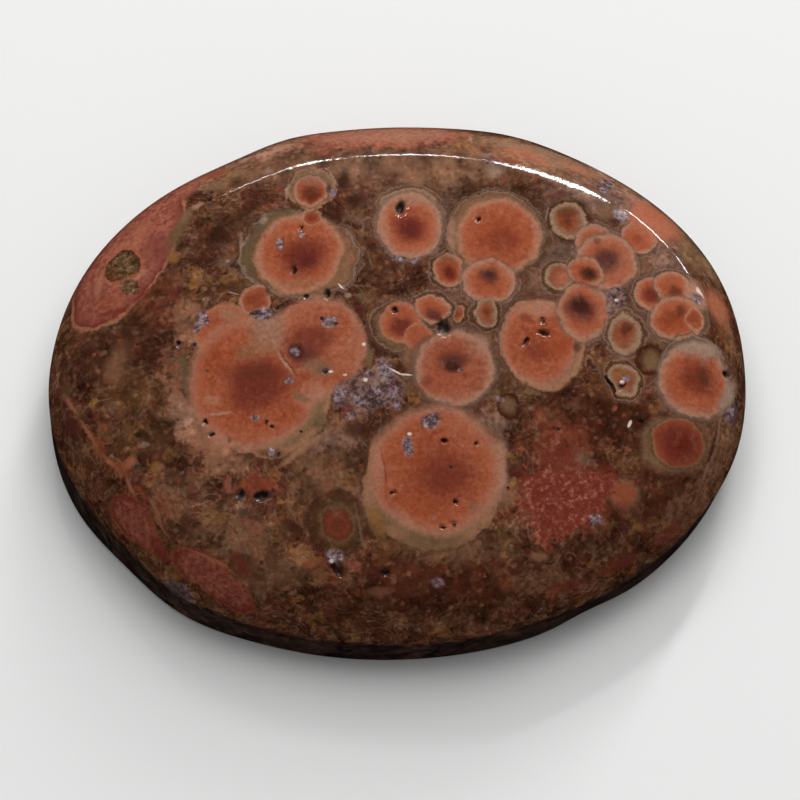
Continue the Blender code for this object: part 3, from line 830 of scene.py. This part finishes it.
centre = (
    ("netHalo", .1, 1.9, 1.7, 1.75, 0), ("softHalo", .3, 1.85, 1.3, 1.4, 0),
    ("softOrb", .35, 2.05, 1.1, 1.2, 0), ("blood", .35, 1.9, .8, .8, 0, .95),
    ("poppy", .5, 2.6, .7, .4, 0, .9), ("softOrb", 1.3, 1, .8, .95, 0),
    ("tan", .7, -.2, .6, .75, 0, .8), ("blushOrb", 2.2, 2.85, .9, .85, 0),
    ("plum", 2.2, 2.5, .5, .4, 0, .9), ("blush", 2.4, 1.25, .4, .3, 0, .8),
    ("coal", 2.7, 1.7, .4, .6, 15, 1), ("duskHalo", 3.2, -.9, 2.6, 2.5, 0),
    ("blushOrb", 3.25, -.85, 2.25, 2.25, 0), ("pinkGrain", 3.25, -.85, 2.1, 2.1, 0, .45),
    ("blush", 4.6, .4, 1, .9, 40, .6), ("poppy", 2.2, -1.8, 1.2, .9, 0, .7),
    ("clay", 3.2, -.3, 1.5, 1.3, 0, .8), ("plum", 3.2, -.5, 1, .8, 0, .9),
    ("coal", 3.15, -.85, .55, .42, 0, .95), ("blood", 1.6, -1.6, .4, .4, 0, .6),
    ("clay", 4.4, -2.1, .5, .4, 0, .7), ("oliveOrb", 6.3, -3.3, .75, .75, 0),
    ("smoke", 6.3, -3.3, .95, .2, 0, .3), ("oliveHalo", 1.7, -7.6, 3.95, 3.95, 0),
    ("blush", 5.5, -7, .5, 2.3, 0, .95), ("olive", -1.6, -9.6, .9, 1.2, 40, .6),
    ("wheat", -2, -8.8, .6, 1, 10, .6), ("olive", 1.5, -11, 2.6, .7, 0, .7),
    ("softOrb", 1.9, -6.9, 3.5, 3.55, 0), ("salmonPale", -1.25, -6.4, .4, 1.8, 5, .9),
    ("salmon", 3.9, -5, 1.5, .9, -30, .7), ("brick", -.95, -6.8, .08, 1.7, 6, .7),
    ("fleshGrain", 1.9, -6.9, 3.2, 3.2, 0, .4), ("brick", 2.3, -7.2, 2.3, 1.9, 0, .75),
    ("blood", 2.6, -7.3, 1.5, .9, 0, .45), ("pumpkin", 1, -8.8, 1.5, .9, 0, .6),
    ("pumpkin", .5, -6.2, 1, .8, 0, .5), ("salmonPale", 0, -9.7, 1.2, .4, -40, .7),
    ("mauve", 6.3, -7.15, .55, .45, 0, .9), ("tan", 5.9, -8.6, .6, .8, 0, .7),
    ("smoke", 4, -9.1, .4, .35, 0, .7),
)
lowerLeft = (
    ("darkOrb", -3.8, -9.7, 1.7, 1.8, 0), ("umber", -3.75, -9.7, .7, .8, 0, .6),
    ("oliveWarm", -1.6, -9.6, .5, 1.2, 15, .7), ("smoke", -2.5, -10.1, .1, 1.7, 8, .7),
    ("rust", -5, -12.2, 1.2, .6, 0, .6), ("rose", -2.9, -12.2, .5, .4, 0, .5),
    ("tan", -1.6, -13.6, .9, .3, 0, .6), ("slate", -9.2, -7.7, .35, .35, 0, .9),
    ("slate", -9.05, -8.6, .3, .3, 0, .9), ("slate", -7.9, -7.95, .5, .35, 0, .9),
    ("rose", -10.1, -7, .3, .6, 10, .7), ("earthDark", -7, -8.8, .4, .4, 0, .8),
    ("earthDark", -6.6, -9.7, .5, .4, -30, .8), ("tanGrain", -13.4, -8, 1.2, 1.2, 0, .5),
    ("tanGrain", -9.2, -9.6, 2, 1.4, -20, .25), ("veinHalo", -15.4, -8.4, 1.9, .9, -49),
    ("veinHalo", -14.6, -9.3, 1.3, .6, -62), ("pinkGrain", -15.2, -8.6, 1.9, .75, -49, .6),
    ("veinHalo", -14, -10.1, .8, .35, -60), ("veinHalo", -12, -11.3, 1.5, .8, -28),
    ("veinHalo", -10.6, -12.4, 2.4, .75, -38), ("roseRed", -9.4, -11.6, 1, .5, -50, .6),
    ("pinkGrain", -10.9, -12.1, 2.5, .75, -34, .6), ("clay", -13.6, -8, .5, 1, 30, .4),
    ("slateGrain", -12.9, -12.2, 1.2, .35, -40, .9), ("salmon", -14, -8.5, .12, 1.6, 28, .6),
    ("salmon", -11, -11.3, 1.9, .1, -30, .7), ("clay", -15, -7, .9, .15, -60, .7),
    ("earthDark", -6.2, -10, .6, .5, 0, .6), ("clay", -5.4, -11.8, .7, .3, 0, .6),
    ("rose", -8.6, -9.6, .9, .4, -40, .4), ("oliveWarm", -10.6, -9, .8, .5, 0, .4),
    ("slate", -13, -12, .8, .4, -35, .8), ("mauve", -15.1, -6.4, .5, .45, 0, .9),
    ("salmon", -15.5, -5.3, .6, .3, 40, .7), ("oliveWarm", -14, -5.8, .5, .4, 0, .7),
    ("clay", -16.9, -3.1, .5, .4, 0, .6), ("salmon", -18.7, -1.2, 1.1, .14, -58, .8),
    ("salmon", -17.8, -3.3, 1.3, .14, -66, .9), ("salmon", -16.5, -5.2, 1.2, .14, -42, .9),
    ("salmon", -15.5, -6.6, 1, .13, -72, .8), ("clay", -17.2, -4.2, 1, .4, -60, .6),
    ("clay", -15.9, -5.6, .8, .5, -40, .6), ("mauve", -18.7, -2.4, .5, 1.1, 20, .9),
    ("fog", -14.6, -4.4, .4, .25, 0, .5), ("wheat", -16, .6, .7, 1.6, -15, .35),
    ("olive", -18.9, -.4, .4, .7, 0, .5),
)
lowerRight = (
    ("tanGrain", 18, -5.6, .9, 2.4, -22, .5), ("tanGrain", 16.2, -8.6, .9, 1.8, -45, .45),
    ("haze", 17.4, -6.6, .12, 1.3, -25, .6), ("haze", 18.2, -4.4, .12, 1.2, -15, .6),
    ("earthDeep", 17.7, -5.4, .12, 1.6, -22, .7), ("tanGrain", 7.4, -13.2, 2, .6, 8, .5),
    ("clay", 5.6, -13.4, .7, .5, 0, .5), ("clay", 8.2, -13.6, .8, .4, 10, .5),
    ("wine", 11.6, -7.2, .7, .6, 0, .6), ("wine", 6.9, -7.4, .6, .6, 0, .6),
    ("blood", 9.2, -6.2, 1.4, .7, 0, .7), ("smoke", 10.2, -6.5, .7, .5, 0, .6),
    ("tan", 12.6, -8.6, 1, 1, 0, .9), ("poppyDeep", 12.5, -8.6, .8, .8, 0, .8),
    ("plum", 12.4, -10.3, .4, .35, 0, .9), ("oliveWarm", 13.3, -10.2, .4, .35, 0, .7),
    ("brick", 7.9, -3.8, .4, .8, 0, .5), ("blood", 9.2, -13.2, 1.6, .3, 12, .8),
    ("blood", 12, -12, 1.8, .3, 28, .8), ("blood", 14.9, -10.3, 1.4, .3, 42, .8),
    ("wheat", 7.6, -12, .6, .3, 0, .7),
)

# which orbs have a net of fine pale lines round them, and how far out it lies
netting = {"gap": .42, "round": ("poppyOrb", "blushOrb", "smallOrb", "tanOrb", "softOrb")}


def ringed(items):
    # the nets of a region, under all of its orbs
    gap = netting["gap"]
    nets = tuple(("netHalo", x, y, a + gap, b + gap, turn)
                 for kind, x, y, a, b, turn, *_ in items if kind in netting["round"])
    return nets + items


regions = {
    "upper left": upperLeft, "top left": topLeft, "top middle": ringed(topMiddle),
    "heart": heart, "druzy": druzy, "upper right": ringed(upperRight),
    "far right": ringed(farRight), "centre": ringed(centre), "lower left": lowerLeft,
    "lower right": lowerRight,
}

# small spots: x, y, half length, half width, turn
redPatches = (
    (9, -8.8, 2.6, 2.1, 0), (11, -8, 1, .8, 0), (7.6, -7.9, 1, .8, 0), (8, -11, .6, .8, 0),
)
crystals = (
    (-6.35, 7.35, .22, .36), (-5.1, 7.8, .18, .2), (-3.2, 10.4, .2, .35), (.2, 6.05, .25, .2),
    (.65, 5.9, .2, .2), (1.3, 5.8, .22, .2), (12.7, 10.8, .45, .4), (12.4, 10.1, .3, .3),
    (13.2, 8.4, .45, .4), (12.95, -1.85, .25, .25), (2.75, 1.95, .15, .25),
    (-.7, -.9, .45, .75, 20), (-.3, -2.2, .3, .35), (-3.3, -2.2, .35, .45), (-2.2, -2.6, .3, .3),
    (-2.7, -3.4, .25, .22), (-1.2, -2.2, .24, .2), (-1.6, -1, .2, .22), (-.1, -3, .2, .2),
    (5.7, -2.8, .2, .2), (5.95, -2.95, .15, .2), (-7.5, 3.1, .45, .45), (-11.1, 2.8, .3, .7, -25),
    (-10.65, 2.85, .18, .4), (-8.2, -3.2, .25, .2), (-3.7, 2.3, .42, .35), (.4, -5.4, .3, .6),
    (1.7, -4, .55, .48), (-4, -11.6, .5, .4), (1.8, -13.3, .35, .3), (10.8, -10.1, .4, .3),
    (17.3, 3.2, .3, .3), (-6.3, -1.1, .3, .16), (3.6, -1.1, .18, .14), (-5.7, .6, .3, .25),
    (18.9, -3.4, .2, .7, -25), (-7.4, -5.3, .2, .25),
)
pits = tuple(spot[:5] for spot in hollows) + (
    (-4.05, 2.55, .12, .12), (-3.4, 2.1, .12, .12), (-11.5, 1.35, .16, .12), (-7.5, -3.5, .1, .18),
    (-7.2, -3.85, .12, .13), (-5.65, -4.3, .1, .1), (5.95, -8.2, .13, .13), (2.65, -6.75, .1, .1),
    (-7, -5.45, .12, .12), (-10.8, -.2, .1, .08), (8.9, -4.7, .12, .12),
)
# pale quartz specks, many of them painted glints of light on crystal faces
quartzSpecksAndGlints = (
    (12.7, 3.05, .11, .09), (-3.8, -.75, .12, .08), (-3, -1, .12, .07), (-1.85, -1.35, .12, .12),
    (13.05, -4.45, .09, .22, -25), (-4.25, -11.8, .12, .12), (12.76, -1.95, .13, .12),
    (-.1, -.95, .45, .05, -32), (.45, -1.15, .35, .05, -8), (.5, -4.7, .12, .1),
    (-1.85, .8, .1, .1), (17.5, 3.8, .07, .22, 20), (-3, 4.45, .05, .2, 35),
)


def groundColour(sheet, rough, loose):
    # the brown ground between the orbs
    mottle = sheet.noise(rough, *rock["mottle"])
    ground = sheet.ramp(mottle, (
        (.3, "earthDeep"), (.4, "earthDark"), (.48, "rustDark"), (.55, "earth"),
        (.64, "earthPale"), (.76, "wheat"))).outputs["Color"]
    # clumps, each with a colour of its own
    clumps = sheet.add("TexVoronoi", {"Vector": loose, "Scale": rock["clumpScale"]})
    pick = sheet.add("SeparateColor", (clumps.outputs["Color"],)).outputs
    patch = sheet.ramp(pick[0], (
        (0, "earthDeep"), (.2, "oliveDark"), (.36, "earthDark"), (.5, "umber"), (.62, "olive"),
        (.74, "rust"), (.88, "oliveWarm"), (1, "tanDusk"))).outputs["Color"]
    amount = sheet.fit(clumps.outputs["Distance"], .75, .25, .15, .85)
    ground = sheet.blend(amount, ground, patch)
    # fine pale lines that wander between the clumps
    wander = sheet.noise(rough, *rock["lineWander"])
    wave = sheet.maths("PINGPONG", sheet.maths("MULTIPLY", wander, rock["lineCount"]), .5)
    lines = sheet.maths("MULTIPLY", sheet.fit(wave, .41, .5, 0, .7), sheet.fit(mottle, .3, .6))
    return sheet.blend(lines, ground, tone("haze"))


def groundGrain(sheet, ground, rough):
    # grains: darker and paler, some tan and some red
    cells = sheet.add("TexVoronoi", {"Vector": rough, "Scale": rock["grainScale"]})
    luck = sheet.add("SeparateColor", (cells.outputs["Color"],)).outputs
    inside = sheet.fit(cells.outputs["Distance"], .62, .15)
    shade = sheet.maths("MULTIPLY_ADD", sheet.fit(luck[0], 0, 1, -.6, .6), inside, 1.0)
    broad = sheet.noise(rough, *rock["broadShade"])
    shade = sheet.maths("MULTIPLY", shade, sheet.fit(broad, .34, .66, .6, 1.5))
    ground = sheet.shaded(ground, shade)
    tanGrains = sheet.maths("MULTIPLY", inside, sheet.fit(luck[1], .78, .9, 0, .42))
    redGrains = sheet.maths("MULTIPLY", inside, sheet.fit(luck[2], .8, .92, 0, .6))
    ground = sheet.blend(tanGrains, ground, tone("wheat"))
    return sheet.blend(redGrains, ground, tone("clay"))


# the stone wears one material per sector, so that each ray works out only the markings near it
sectors = {
    "columns": 8, "rows": 6, "halfLength": cut["length"] / 2, "halfWidth": cut["width"] / 2,
    "looseMargin": 1.4, "crispMargin": 0.6, "softEdge": 1.15,
    "backTop": 0.01,    # faces lower than this are the back
}


def sectorOf(x, y):
    column = int((x / sectors["halfLength"] + 1.0) / 2.0 * sectors["columns"])
    row = int((y / sectors["halfWidth"] + 1.0) / 2.0 * sectors["rows"])
    column = min(max(column, 0), sectors["columns"] - 1)
    row = min(max(row, 0), sectors["rows"] - 1)
    return row * sectors["columns"] + column


def nearSector(sector, margin, x, y, a, b):
    row, column = divmod(sector, sectors["columns"])
    halfX = sectors["halfLength"] / sectors["columns"]
    halfY = sectors["halfWidth"] / sectors["rows"]
    middleX = (2 * column + 1) * halfX - sectors["halfLength"]
    middleY = (2 * row + 1) * halfY - sectors["halfWidth"]
    reach = max(a, b) * sectors["softEdge"] + sectors[margin]
    # a sector on the outside goes on outwards
    gapX, gapY = abs(x - middleX) - halfX, abs(y - middleY) - halfY
    if (column == 0 and x < middleX) or (column == sectors["columns"] - 1 and x > middleX):
        gapX = 0.0
    if (row == 0 and y < middleY) or (row == sectors["rows"] - 1 and y > middleY):
        gapY = 0.0
    return math.hypot(max(gapX, 0.0), max(gapY, 0.0)) < reach


def wanderingPlaces(sheet, where):
    # the places moved about a little, for crisp markings, and a lot, for loose ones
    crisp = where
    for wander in ("drift", "fray", "fineFray"):
        *kind, amount = rock[wander]
        cloud = sheet.noise(where, *kind, colour=True)
        crisp = sheet.jittered(crisp, cloud, amount)
        if wander == "fray":
            fray = cloud
    return crisp, sheet.jittered(crisp, fray, rock["looseFray"])


def stoneMaterial(name, sector):
    def near(items, first, margin="crispMargin"):
        return [item for item in items
                if sector is not None and nearSector(sector, margin, *item[first:first + 4])]

    material = bpy.data.materials.new(name)
    material.use_nodes = True
    sheet = Sheet(material.node_tree)
    here = sheet.add("TexCoord").outputs["Object"]
    place = sheet.add("Mapping", (here,), vector_type="POINT")
    place.inputs["Scale"].default_value = (1 / mm, 1 / mm, 1 / mm)
    where = place.outputs[0]
    crisp, loose = wanderingPlaces(sheet, where)
    colour = groundColour(sheet, crisp, loose)
    speckle = sheet.noise(where, *rock["speckle"])
    pattern = Pattern(sheet, {"Colour": colour, "Dull": 0.0, "Crisp": crisp, "Loose": loose,
                              "Where": where, "Speckle": speckle})
    # the soft stain patches, with the painted glare under the highlight
    pattern.layAll(name + " stains", layStainsAndGlare, near(stainsAndGlare, 1, "looseMargin"))
    pattern.values["Colour"] = groundGrain(sheet, pattern.values["Colour"], pattern.values["Crisp"])
    for region, items in regions.items():
        pattern.layAll(name + " " + region, layMarkings, near(items, 1))
    pattern.layAll(name + " red", laySpots("red", "Loose", .25, .1),
                   near(redPatches, 0, "looseMargin"))
    pattern.layAll(name + " crystals", laySpots("crystal", "Crisp", .3, .3), near(crystals, 0))
    pattern.layAll(name + " pits", laySpots("pit", "Crisp", .4, 1.0), near(pits, 0))
    # pale quartz specks and painted glints
    pattern.layAll(name + " specks", laySpots("chalk", "Where", .4, .2), near(quartzSpecksAndGlints, 0))
    colour, dull, where = (pattern.values[name] for name in ("Colour", "Dull", "Where"))

    # clouding and grain over everything
    cloud = sheet.noise(where, *rock["cloud"])
    colour = sheet.blend(sheet.fit(cloud, .56, .74, 0, .3), colour, tone("wheat"))
    colour = sheet.blend(sheet.fit(cloud, .46, .30, 0, .3), colour, tone("blood"))
    grain = sheet.noise(where, *rock["grain"])
    colour = sheet.shaded(colour, sheet.fit(grain, .3, .7, *rock["grainShade"]))

    # the wall and the back are ground, not polished, and painted shade darkens their colour
    height = sheet.add("SeparateXYZ", (where,)).outputs["Z"]
    wallMask = sheet.fit(height, *(cut["girdleHeight"] - below for below in rock["wallFade"]))
    # painted shade: the wall and the back are darkened
    colour = sheet.blend(wallMask, colour, sheet.blend(1.0, colour, rock["wallPaintedShade"], "MULTIPLY"))
    rough = sheet.maths("ADD", sheet.fit(dull, 0, 1, rock["polish"], rock["dullRoughness"]),
                        sheet.fit(grain, .3, .7, -.02, .03))
    wallRough = sheet.maths("MULTIPLY", wallMask, rock["wallRoughness"])
    dimples = sheet.noise(place.outputs[0], *rock["dimples"])
    bump = sheet.add("Bump", {"Strength": rock["dimpleStrength"], "Distance": rock["dimpleDepth"],
                              "Height": dimples})
    shader = sheet.add("BsdfPrincipled", {
        "Base Color": colour, "Roughness": sheet.maths("MAXIMUM", rough, wallRough),
        "Normal": bump.outputs[0], "IOR": rock["refraction"],
        "Specular IOR Level": rock["specular"]})
    output = sheet.add("OutputMaterial")
    sheet.tree.links.new(shader.outputs[0], output.inputs[0])
    return material


print("laying the pattern")
sectorCount = sectors["columns"] * sectors["rows"]
for sector in range(sectorCount):
    stoneMesh.materials.append(stoneMaterial("polished_jasper_%02d" % (sector + 1), sector))
stoneMesh.materials.append(stoneMaterial("ground_back", None))
for face in stoneMesh.polygons:
    middle = face.center / mm
    onBack = middle.z < sectors["backTop"]
    face.material_index = sectorCount if onBack else sectorOf(middle.x, middle.y)
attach(stone, "root")
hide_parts("jasper_cabochon")

# the camera and the room
view = {
    "distance": 0.600, "elevation": 70.0, "turn": 2.675, "lens": 471.2, "sensor": 36.0,
    "aimHeight": 0.004, "aimRight": 0.000179, "aimUp": -0.001189, "near": 0.01, "far": 20.0,
}
light = {
    # the lamp strip: the directions it runs through, and how wide it is from place to place
    "stripPath": ((-0.17, 0.69, 0.707), (0.17, 0.76, 0.62), (0.475, 0.873, 0.116),
                  (0.743, 0.669, 0.035)),
    "stripWidths": ((.01, .22, .007), (.24, .36, .042), (.50, .75, .016), (.77, .85, .003),
                    (.93, 1.2, .016), (1.2, 1.75, .032), (2.1, 2.6, .014), (2.75, 3, .010)),
    "stripDistance": 0.5, "stripRadiance": 44.0,
    "cardPlace": (0.12, 0.36, 0.0006), "cardSize": (0.95, 0.64), "cardRadiance": 0.45,
    "topPlace": (0.05, 0.30, 0.62), "topSize": (0.75, 0.6), "topPower": 3.0,
    "aimHeight": 0.007, "worldStrength": 0.26,
    "floorColour": (0.90, 0.90, 0.895, 1.0), "floorHalf": 4.0, "floorRoughness": 0.9,
}


def addFloor():
    bm = bmesh.new()
    bmesh.ops.create_grid(bm, x_segments=2, y_segments=2, size=light["floorHalf"])
    mesh = bpy.data.meshes.new("floor")
    bm.to_mesh(mesh)
    bm.free()
    material = bpy.data.materials.new("pale_floor")
    material.use_nodes = True
    sheet = Sheet(material.node_tree)
    shader = sheet.add("BsdfPrincipled", {
        "Base Color": light["floorColour"], "Roughness": light["floorRoughness"],
        "Specular IOR Level": 0.1})
    sheet.tree.links.new(shader.outputs[0], sheet.add("OutputMaterial").inputs[0])
    mesh.materials.append(material)
    floor = bpy.data.objects.new("floor", mesh)
    bpy.context.scene.collection.objects.link(floor)
    floor.visible_glossy = False    # the polish mirrors only the lamps


def addPanel(name, place, aim, size, power, along=None, inGloss=True, inDiffuse=True):
    data = bpy.data.lights.new(name, "AREA")
    data.shape = "RECTANGLE"
    data.size, data.size_y = size
    data.energy = power
    away = (Vector(place) - Vector(aim)).normalized()
    side = Vector(along) if along else Vector((0.0, 0.0, 1.0)).cross(away)
    side = (side - away * side.dot(away)).normalized()
    lamp = bpy.data.objects.new(name, data)
    rows = Matrix((side, away.cross(side), away)).transposed().to_4x4()
    lamp.matrix_world = Matrix.Translation(Vector(place)) @ rows
    lamp.visible_glossy, lamp.visible_diffuse, lamp.visible_camera = inGloss, inDiffuse, False
    bpy.context.scene.collection.objects.link(lamp)


def stripPlace(along):
    path = [Vector(place).normalized() for place in light["stripPath"]]
    step = min(int(along), len(path) - 2)
    return path[step].lerp(path[step + 1], along - step).normalized()


def addLights():
    middle = Vector((0.0, 0.0, light["aimHeight"]))
    for first, last, width in light["stripWidths"]:
        start = middle + stripPlace(first) * light["stripDistance"]
        end = middle + stripPlace(last) * light["stripDistance"]
        length = (end - start).length
        addPanel("strip", (start + end) / 2, middle, (length, width),
                 light["stripRadiance"] * length * width * math.pi, end - start)
    addPanel("top", light["topPlace"], middle, light["topSize"], light["topPower"], inGloss=False)
    # a pale card on the table behind the stone, seen only in the polish of its far shoulder
    place, size = Vector(light["cardPlace"]), light["cardSize"]
    addPanel("card", place, place - Vector((0.0, 0.0, 1.0)), size,
             light["cardRadiance"] * size[0] * size[1] * math.pi, (1.0, 0.0, 0.0), inDiffuse=False)
    world = bpy.data.worlds.new("room")
    world.use_nodes = True
    background = world.node_tree.nodes["Background"]
    background.inputs["Color"].default_value = (1.0, 1.0, 1.0, 1.0)
    background.inputs["Strength"].default_value = light["worldStrength"]
    world.cycles_visibility.glossy = False
    bpy.context.scene.world = world


def addCamera():
    e, t = math.radians(view["elevation"]), math.radians(view["turn"])
    right = Vector((math.cos(t), -math.sin(t), 0.0))
    up = Vector((math.sin(t) * math.sin(e), math.cos(t) * math.sin(e), math.cos(e)))
    toward = Vector((-math.sin(t) * math.cos(e), -math.cos(t) * math.cos(e), math.sin(e)))
    aim = Vector((0.0, 0.0, view["aimHeight"])) + right * view["aimRight"] + up * view["aimUp"]
    data = bpy.data.cameras.new("camera")
    data.lens, data.sensor_width = view["lens"], view["sensor"]
    data.clip_start, data.clip_end = view["near"], view["far"]
    camera = bpy.data.objects.new("camera", data)
    rows = Matrix((right, up, toward)).transposed().to_4x4()
    camera.matrix_world = Matrix.Translation(aim + toward * view["distance"]) @ rows
    bpy.context.scene.collection.objects.link(camera)
    bpy.context.scene.camera = camera


print("setting the floor, lights and camera")
addFloor()
addLights()
addCamera()
bpy.context.scene.view_settings.view_transform = "Standard"
